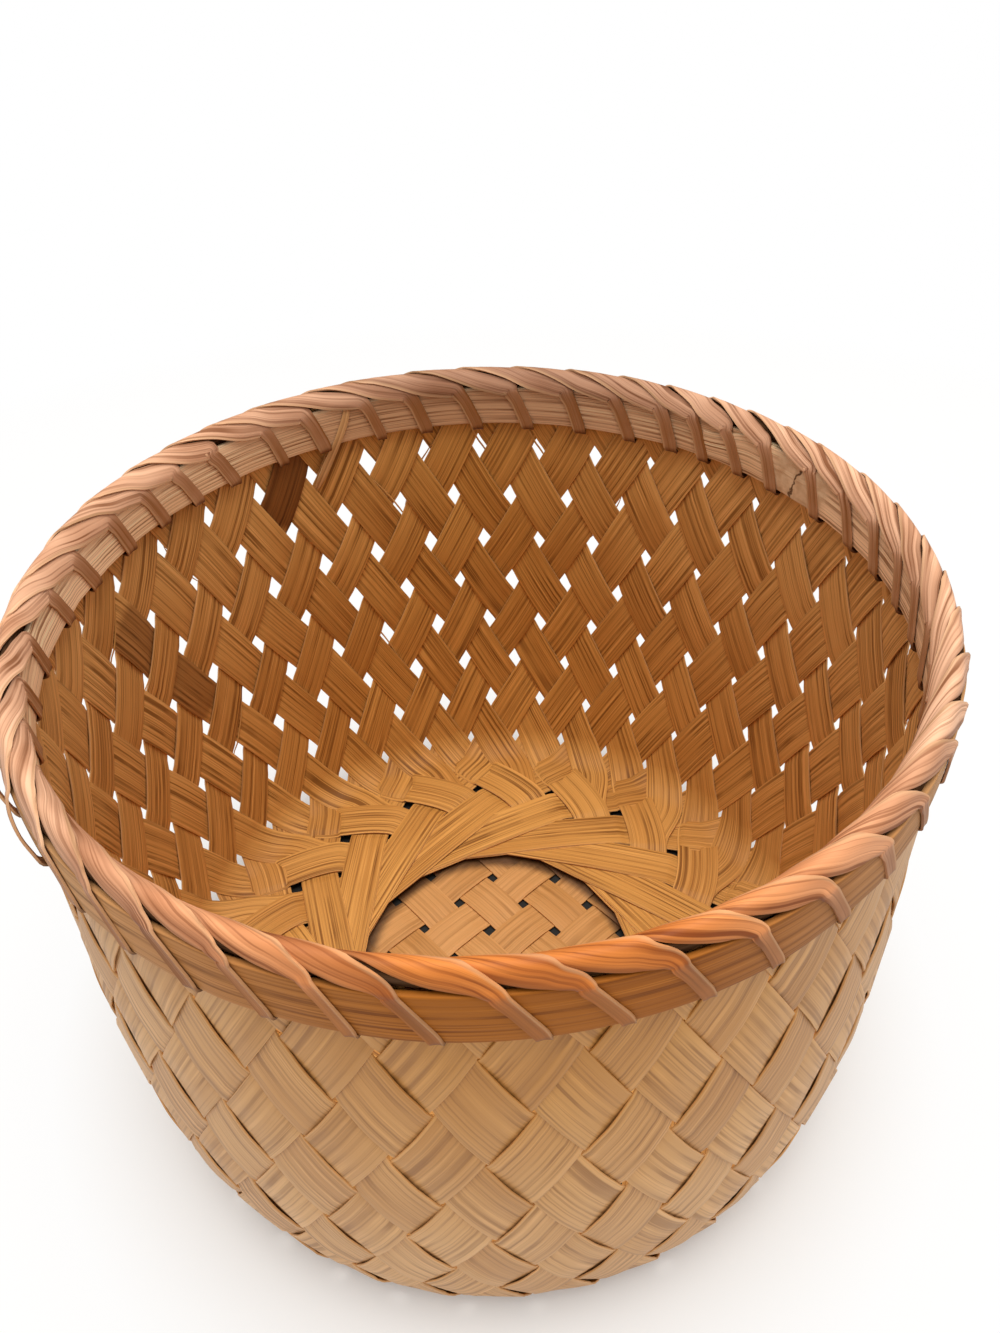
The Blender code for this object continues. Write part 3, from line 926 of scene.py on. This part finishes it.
def add_hoop(name, node, radius, top, width, lap_at, toward, seed, material, shade_at=None):
    """Flat band round the rim, whose thinned ends lie over each other."""
    total = FULL_TURN + HOOP_LAP

    def place(step, side):
        gone = total * step / HOOP_STEPS
        angle = lap_at + gone
        first_end = 1 - smooth(gone / HOOP_LAP)
        last_end = smooth((gone - FULL_TURN + 0.3 * HOOP_LAP) / (0.7 * HOOP_LAP))
        shift = (0.2 * last_end - 0.95 * first_end) * HOOP_THICKNESS * toward
        wave = wander(math.cos(angle) * 3, seed + math.sin(angle) * 3, HOOP_WANDER)
        tail = smooth((gone - total + TAIL_ANGLE) / TAIL_FADE)
        half = width / 2 * (1 + wander(gone * 3, seed + 4, 0.04)) * (1 - 0.30 * tail)
        bulge = HOOP_BULGE * (1 - side * side) * toward
        here = radius + shift + wave + bulge
        return round_point(here, angle, top - width / 2 + side * half - 0.12 * tail * width)

    def uv_at(step, side):
        return (total * step / HOOP_STEPS * radius + seed, side * width / 2 + seed * 0.1)

    def shade_here(step, side):
        return shade_at(lap_at + total * step / HOOP_STEPS, side) if shade_at else 0.0

    item = strip(name, HOOP_STEPS, HOOP_COLUMNS, place, uv_at, shade_here)
    thicken(item, HOOP_THICKNESS, HOOP_EDGE, 3)
    dress(item, (material, material), "hoop_bamboo", node)
    return item


def node_scar(angle, side):
    """One at the smooth pale swelling where the bamboo had a node, zero away from it."""
    away = abs(math.remainder(angle - SCAR_AT + SCAR_SKEW * side, FULL_TURN))
    return 1 - eased(away, SCAR_HALF_ANGLE, SCAR_FADE)


def inner_hoop_finish():
    """Streaked band with one smooth pale place that has a jagged crack, with painted shade at the back and
    painted light at the left.
    """
    finish = bamboo(
        "inner_hoop_band", light=(0.94, 0.615, 0.37), dark=(0.75, 0.45, 0.24),
        groove=(0.28, 0.125, 0.052), lines=1250, depth=1.1,
    )
    _, tree, _, colour = finish
    spots = spread(tree, cloud_noise(tree, object_place(tree), 420, 4), 0.40, 0.66)
    scar = blend(tree, spots, (0.70, 0.47, 0.28), (0.54, 0.32, 0.17))
    colour = blend(tree, scaled(tree, attribute(tree, "shade"), 0.92), colour, scar)
    jagged = spread(tree, cloud_noise(tree, object_place(tree), 330, 3), 0.3, 0.7, -0.0011, 0.0011)
    away = calculated(tree, "ABSOLUTE", calculated(tree, "ADD", attribute(tree, "crack"), jagged))
    line = spread(tree, away, 0.00048, 0.00020, 0.0, 0.92)
    cracked = recoloured(finish, blend(tree, line, colour, (0.085, 0.036, 0.014)))
    # Painted shade at the back of the rim, then painted light at the left
    back_shaded = painted_light_and_shade_spot(cracked, (0.74, 0.70, 0.70), spot=BACK_PAINTED_SHADE_AT)
    return painted_light_and_shade_spot(back_shaded, (1.19, 1.27, 1.36), spot=LEFT_PAINTED_LIGHT_AT)[0]


def add_hoops():
    """Inner and outer hoop."""
    inner = add_hoop(
        "inner_hoop_band", "inner_hoop", INNER_HOOP_RADIUS, INNER_HOOP_TOP, INNER_HOOP_WIDTH,
        INNER_HOOP_LAP_AT, toward=-1, seed=3, material=inner_hoop_finish(), shade_at=node_scar,
    )
    crack = inner.data.attributes.new("crack", "FLOAT", "POINT")
    for vert in inner.data.vertices:
        x, y, z = vert.co
        away = math.remainder(math.atan2(y, x) - CRACK_AT, FULL_TURN) * INNER_HOOP_RADIUS
        crack.data[vert.index].value = away + CRACK_SLANT * (z - INNER_HOOP_TOP + INNER_HOOP_WIDTH / 2)
    finish = bamboo(
        "outer_hoop_band", light=(0.52, 0.275, 0.115), dark=(0.40, 0.19, 0.065),
        groove=(0.20, 0.08, 0.022), roughness=0.6, lines=620, gloss=0.10,
    )
    # Painted warm shade: the outer hoop darker and more orange round the front
    add_hoop(
        "outer_hoop_band", "outer_hoop", OUTER_HOOP_RADIUS, OUTER_HOOP_TOP, OUTER_HOOP_WIDTH,
        OUTER_HOOP_LAP_AT, toward=1, seed=5, material=painted_light_and_shade_spot(finish, (0.80, 0.50, 0.12))[0],
    )


def add_core():
    """Round filler under the binding, dark like cut ends and nearly black as painted shade in the slits
    between the binding and the hoops.
    """
    bm = bmesh.new()
    uv_layer = bm.loops.layers.uv.new("UVMap")
    rings = []
    for step in range(CORE_STEPS):
        ring = []
        for side in range(CORE_SIDES):
            tilt = FULL_TURN * (side / CORE_SIDES + 0.25)
            radius = BUNDLE_RADIUS + CORE_RADIUS * math.cos(tilt)
            height = CORE_HEIGHT + CORE_RADIUS * math.sin(tilt)
            ring.append(bm.verts.new(round_point(radius, FULL_TURN * step / CORE_STEPS, height)))
        rings.append(ring)
    for before, after in zip(rings, rings[1:] + rings[:1]):
        for side in range(CORE_SIDES):
            bm.faces.new((before[side - 1], after[side - 1], after[side], before[side]))
    for face in bm.faces:
        middle = face.calc_center_median()
        base_angle = math.atan2(middle.y, middle.x)
        for loop in face.loops:
            x, y, z = loop.vert.co
            angle = base_angle + math.remainder(math.atan2(y, x) - base_angle, FULL_TURN)
            round_it = math.atan2(z - CORE_HEIGHT, math.hypot(x, y) - BUNDLE_RADIUS)
            loop[uv_layer].uv = (angle * BUNDLE_RADIUS, round_it * CORE_RADIUS)
    # Painted shade: the core nearly black so the slits between the binding and the hoops look shadowed
    finish = bamboo(
        "core_fibre", light=(0.075, 0.036, 0.016), dark=(0.045, 0.020, 0.009),
        groove=(0.02, 0.009, 0.004), roughness=0.9, gloss=0.0,
    )[0]
    dress(built_item("rim_core_filler", bm), (finish,), "core_bamboo", "rim_core")


def loop_bend(angle):
    """Radius and height at an angle on the lower bend of the binding's loop."""
    return BUNDLE_RADIUS + BUNDLE_REACH * math.cos(angle), LOOP_BOTTOM + LOOP_DROP * math.sin(angle)


def loop_section():
    """Length, radius and height at points round the binding's loop, from its lowest point inwards."""
    steps = range(LOOP_STEPS)
    inside, outside = BUNDLE_RADIUS - BUNDLE_REACH, BUNDLE_RADIUS + BUNDLE_REACH
    points = [loop_bend(math.pi * (1.5 - 0.5 * step / LOOP_STEPS)) for step in steps]
    points += [(inside, mix(LOOP_BOTTOM, RIDGE[0][1], step / LOOP_STEPS)) for step in steps]
    points += curve_rows(RIDGE, RIDGE_STEPS)[:-1]
    points += [(outside, mix(RIDGE[-1][1], LOOP_BOTTOM, step / LOOP_STEPS)) for step in steps]
    points += [loop_bend(-math.pi * 0.5 * step / LOOP_STEPS) for step in range(LOOP_STEPS + 1)]
    section = []
    length = 0.0
    for index, (radius, height) in enumerate(points):
        if index:
            length += math.hypot(radius - points[index - 1][0], height - points[index - 1][1])
        section.append((length, radius, height))
    return section


LOOP = loop_section()
LOOP_LENGTHS = [entry[0] for entry in LOOP]


def loop_point(place):
    """Radius, height and outward direction at a length along the binding's loop in section."""
    place %= LOOP[-1][0]
    index = min(max(bisect_left(LOOP_LENGTHS, place), 1), len(LOOP) - 1)
    before, after = LOOP[index - 1], LOOP[index]
    share = (place - before[0]) / (after[0] - before[0])
    wide = LOOP[max(index - 3, 0)], LOOP[min(index + 2, len(LOOP) - 1)]
    around = Vector((wide[1][1] - wide[0][1], wide[1][2] - wide[0][2])).normalized()
    return mix(before[1], after[1], share), mix(before[2], after[2], share), (-around[1], around[0])


def binding_stations(strip_number):
    """Stations along a strip of the binding.

    Each holds its angle, length along the loop, half width, tone, share over the rim and bow.
    """
    holes = [math.radians(angle) for angle in LASHING_HOLES]
    count = len(holes)
    quarter = LOOP[LOOP_STEPS][0]
    inner_straight = RIDGE[0][1] - LOOP_BOTTOM
    outer_straight = RIDGE[-1][1] - LOOP_BOTTOM
    whole = LOOP[-1][0]
    stations = []
    for turn, hole in enumerate(range(strip_number, count, BINDING_STRIPS)):
        here = holes[hole]
        following = hole + BINDING_STRIPS
        there = holes[following % count] + FULL_TURN * (following // count)
        bow = BOWED_LASHINGS.get(following % count, 0.0)
        random.seed(strip_number * 100 + turn)
        fat = FLOAT_HALF_WIDTH * random.uniform(0.86, 1.12)
        rising = INNER_LASHING_HALF_WIDTH * random.uniform(0.85, 1.10)
        falling = OUTER_LASHING_HALF_WIDTH * random.uniform(0.85, 1.15)
        leave = here + INNER_LASHING_SLANT * random.uniform(0.8, 1.2)
        arrive = there - OUTER_LASHING_SLANT * random.uniform(0.8, 1.2)
        drift = random.uniform(-0.00025, 0.00025)
        start = turn * whole
        rise = start + quarter
        over = rise + inner_straight
        fall = start + whole - quarter - outer_straight
        stations.append((here, start, TUCKED_HALF_WIDTH, 0.0, 0.0, 0.0))
        stations.append((mix(here, leave, 0.02), start + 0.6 * quarter, 0.8 * rising, 0.1, 0.0, 0.0))
        for share, climbed, tone in LASHING_UP:
            along = rise + climbed * inner_straight
            stations.append((mix(here, leave, share), along, rising, tone, 0.0, 0.0))
        stations.append((mix(here, leave, 1.12), over - 0.02 * inner_straight, 1.15 * rising, 0.7, 0.3, 0.0))
        for share, reach in FLOAT_PATH:
            wide = mix(1.2 * falling, fat, smooth((1 - share) / 0.26))
            if share < 0.5:
                wide = mix(1.2 * rising, fat, smooth(share / 0.16))
            angle = mix(leave, arrive, share) + random.uniform(-0.004, 0.004)
            stations.append((angle, over + reach + drift, wide, 1.0, 1.0, 0.0))
        along = fall + 0.02 * outer_straight
        stations.append((mix(there, arrive, 1.05), along, 1.15 * falling, 0.7, 0.3, 0.35 * bow))
        for share, dropped, tone, bowed in LASHING_DOWN:
            along = fall + dropped * outer_straight
            stations.append((mix(there, arrive, share), along, falling, tone, 0.0, bowed * bow))
        along = fall + outer_straight + 0.4 * quarter
        stations.append((mix(there, arrive, 0.02), along, 0.8 * falling, 0.1, 0.0, 0.0))
    stations.append((there, start + whole, TUCKED_HALF_WIDTH, 0.0, 0.0, 0.0))
    return stations


def binding_finish():
    """Reddish strip, bright on top and browner on the hoops, with painted shade in the weave, in creases, at
    the back and at the front, and a painted highlight on raised edges.
    """
    strips = bamboo(
        "binding_strip", light=(0.76, 0.44, 0.275), dark=(0.52, 0.255, 0.14), groove=(0.24, 0.09, 0.035),
        roughness=0.55, lines=760, depth=1.15, edge=0.0, patch=34, gloss=0.18,
    )
    # Painted shade at the back of the rim, then warm painted shade round the front
    back_shaded = painted_light_and_shade_spot(strips, (0.55, 0.51, 0.49), spot=BACK_PAINTED_SHADE_AT)
    finish = painted_light_and_shade_spot(back_shaded, (0.90, 0.51, 0.16), 1.0)
    _, tree, _, colour = finish
    shade = attribute(tree, "shade")
    across = attribute(tree, "across")
    # Painted shade in the crease where a float's edge tucks under its neighbour
    crease_shade = scaled(tree, spread(tree, across, -0.45, -1.0, 0.0, 0.55), spread(tree, shade, 0.75, 1.0))
    colour = blend(tree, crease_shade, colour, (0.16, 0.058, 0.022))
    # Lashings browner than the floats: partly the strip's other side, partly painted shade on the hoops'
    # sides
    lashing = blend(tree, 0.72, colour, (0.28, 0.105, 0.024))
    colour = blend(tree, spread(tree, shade, 0.5, 0.9), lashing, colour)
    # Painted highlight along the raised edge of each strand
    colour = blend(tree, spread(tree, across, 0.66, 0.88, 0.0, 0.38), colour, (0.68, 0.42, 0.22))
    # Painted shade: near black where the strip's ends go into the weave
    colour = blend(tree, spread(tree, shade, 0.45, 0.0), colour, (0.05, 0.020, 0.008))
    return recoloured(finish, colour)[0]


def add_bindings():
    """Three strips that wind round the hoops and the core, each over the next like the strands of a rope."""
    material = binding_finish()
    for strip_number in range(BINDING_STRIPS):
        rows = curve_rows(binding_stations(strip_number), BINDING_STEPS)
        steps = len(rows) - 1
        lengths = [0.0]
        for before, after in zip(rows, rows[1:]):
            around = (after[0] - before[0]) * BUNDLE_RADIUS
            lengths.append(lengths[-1] + math.hypot(around, after[1] - before[1]))
        leans = []
        for index in range(steps + 1):
            before, after = rows[max(index - 1, 0)], rows[min(index + 1, steps)]
            leans.append(math.atan2(after[1] - before[1], (after[0] - before[0]) * BUNDLE_RADIUS))

        def place(step, side):
            angle, along, half, _, float_share, bow = rows[step]
            shift = side * half
            angle += shift * math.sin(leans[step]) / BUNDLE_RADIUS
            radius, height, facing = loop_point(along - shift * math.cos(leans[step]))
            channel = BINDING_CHANNEL * (side * side - 0.5)
            lift = mix(channel, FLOAT_OVERLAP * side, min(max(float_share, 0.0), 1.0)) + bow
            return round_point(radius + lift * facing[0], angle, height + lift * facing[1])

        def uv_at(step, side):
            return (lengths[step] + strip_number * 2.7, side * rows[step][2] + strip_number * 0.07)

        def shade_at(step, side):
            return min(max(rows[step][3], 0.0), 1.0)

        name = f"rim_binding_strip_{strip_number + 1}"
        item = strip(name, steps, BINDING_COLUMNS, place, uv_at, shade_at)
        thicken(item, BINDING_THICKNESS, BINDING_EDGE)
        dress(item, (material, material), "binding_bamboo", f"rim_binding_{strip_number + 1}")


# Floor, light and camera


def add_floor():
    """Plain pale floor with painted shadow, a dark disc under the basket; it keeps the basket's shadow and
    shows white elsewhere.
    """
    bm = bmesh.new()
    bmesh.ops.create_circle(bm, cap_ends=True, segments=64, radius=4.0)
    item = built_item("floor", bm)
    material = bpy.data.materials.new("floor")
    material.use_nodes = True
    tree = material.node_tree
    tree.nodes.clear()
    matt = tree.nodes.new("ShaderNodeBsdfDiffuse")
    white = tree.nodes.new("ShaderNodeEmission")
    white.inputs["Color"].default_value = (1, 1, 1, 1)
    white.inputs["Strength"].default_value = 1
    rays = tree.nodes.new("ShaderNodeLightPath")
    seen = calculated(tree, "MAXIMUM", rays.outputs["Is Camera Ray"], rays.outputs["Is Glossy Ray"])
    distance = distance_from(tree, (0, 0, 0))
    # Painted shadow: the floor's colour near black under the basket
    outside = spread(tree, distance, *PAINTED_FLOOR_SHADOW)
    tree.links.new(blend(tree, outside, (0.03, 0.03, 0.028), (0.82, 0.81, 0.79)), matt.inputs["Color"])
    near = spread(tree, distance, *NEAR_SHADOW, 0.0, 0.86)
    far = spread(tree, distance, *FAR_SHADOW)
    both = tree.nodes.new("ShaderNodeMixShader")
    tree.links.new(scaled(tree, seen, calculated(tree, "MAXIMUM", near, far)), both.inputs["Fac"])
    tree.links.new(matt.outputs["BSDF"], both.inputs[1])
    tree.links.new(white.outputs["Emission"], both.inputs[2])
    output = tree.nodes.new("ShaderNodeOutputMaterial")
    tree.links.new(both.outputs["Shader"], output.inputs["Surface"])
    item.data.materials.append(material)


def add_world():
    """Even studio white all round, and pure white where the camera sees it."""
    world = bpy.data.worlds.new("studio")
    bpy.context.scene.world = world
    world.use_nodes = True
    tree = world.node_tree
    background = tree.nodes["Background"]
    seen = tree.nodes.new("ShaderNodeLightPath").outputs["Is Camera Ray"]
    tree.links.new(blend(tree, seen, (1.0, 0.98, 0.96), (1.0, 1.0, 1.0)), background.inputs["Color"])
    tree.links.new(spread(tree, seen, 0.0, 1.0, 0.66, 1.0), background.inputs["Strength"])


def add_lamp():
    """Round soft lamp above the basket."""
    data = bpy.data.lights.new("top_lamp", "AREA")
    data.shape = "DISK"
    data.size = LAMP_SIZE
    data.energy = LAMP_POWER
    data.color = LAMP_COLOUR
    item = new_item("top_lamp", data)
    item.location = LAMP_PLACE
    item.rotation_euler = (Vector(LAMP_TARGET) - Vector(LAMP_PLACE)).to_track_quat("-Z", "Y").to_euler()


def add_camera():
    """Camera above and in front, turned a little."""
    yaw, pitch, roll = CAMERA_TURNS
    forward = Vector((math.sin(yaw) * math.cos(pitch), math.cos(yaw) * math.cos(pitch), -math.sin(pitch)))
    level = Vector((math.cos(yaw), -math.sin(yaw), 0))
    upward = level.cross(forward)
    right = level * math.cos(roll) + upward * math.sin(roll)
    up = upward * math.cos(roll) - level * math.sin(roll)
    data = bpy.data.cameras.new("camera")
    data.sensor_fit = "VERTICAL"
    data.sensor_height = 36
    data.lens = CAMERA_LENS
    data.clip_start = 0.01
    item = new_item("camera", data)
    turn = Matrix((right, up, -forward)).transposed().to_4x4()
    item.matrix_world = Matrix.Translation(CAMERA_PLACE) @ turn
    bpy.context.scene.camera = item


bpy.context.scene.view_settings.view_transform = "Standard"
add_camera()
add_world()
add_floor()
add_lamp()
add_splinters(add_splints())
add_loose_end()
add_mat()
add_hoops()
add_core()
add_bindings()
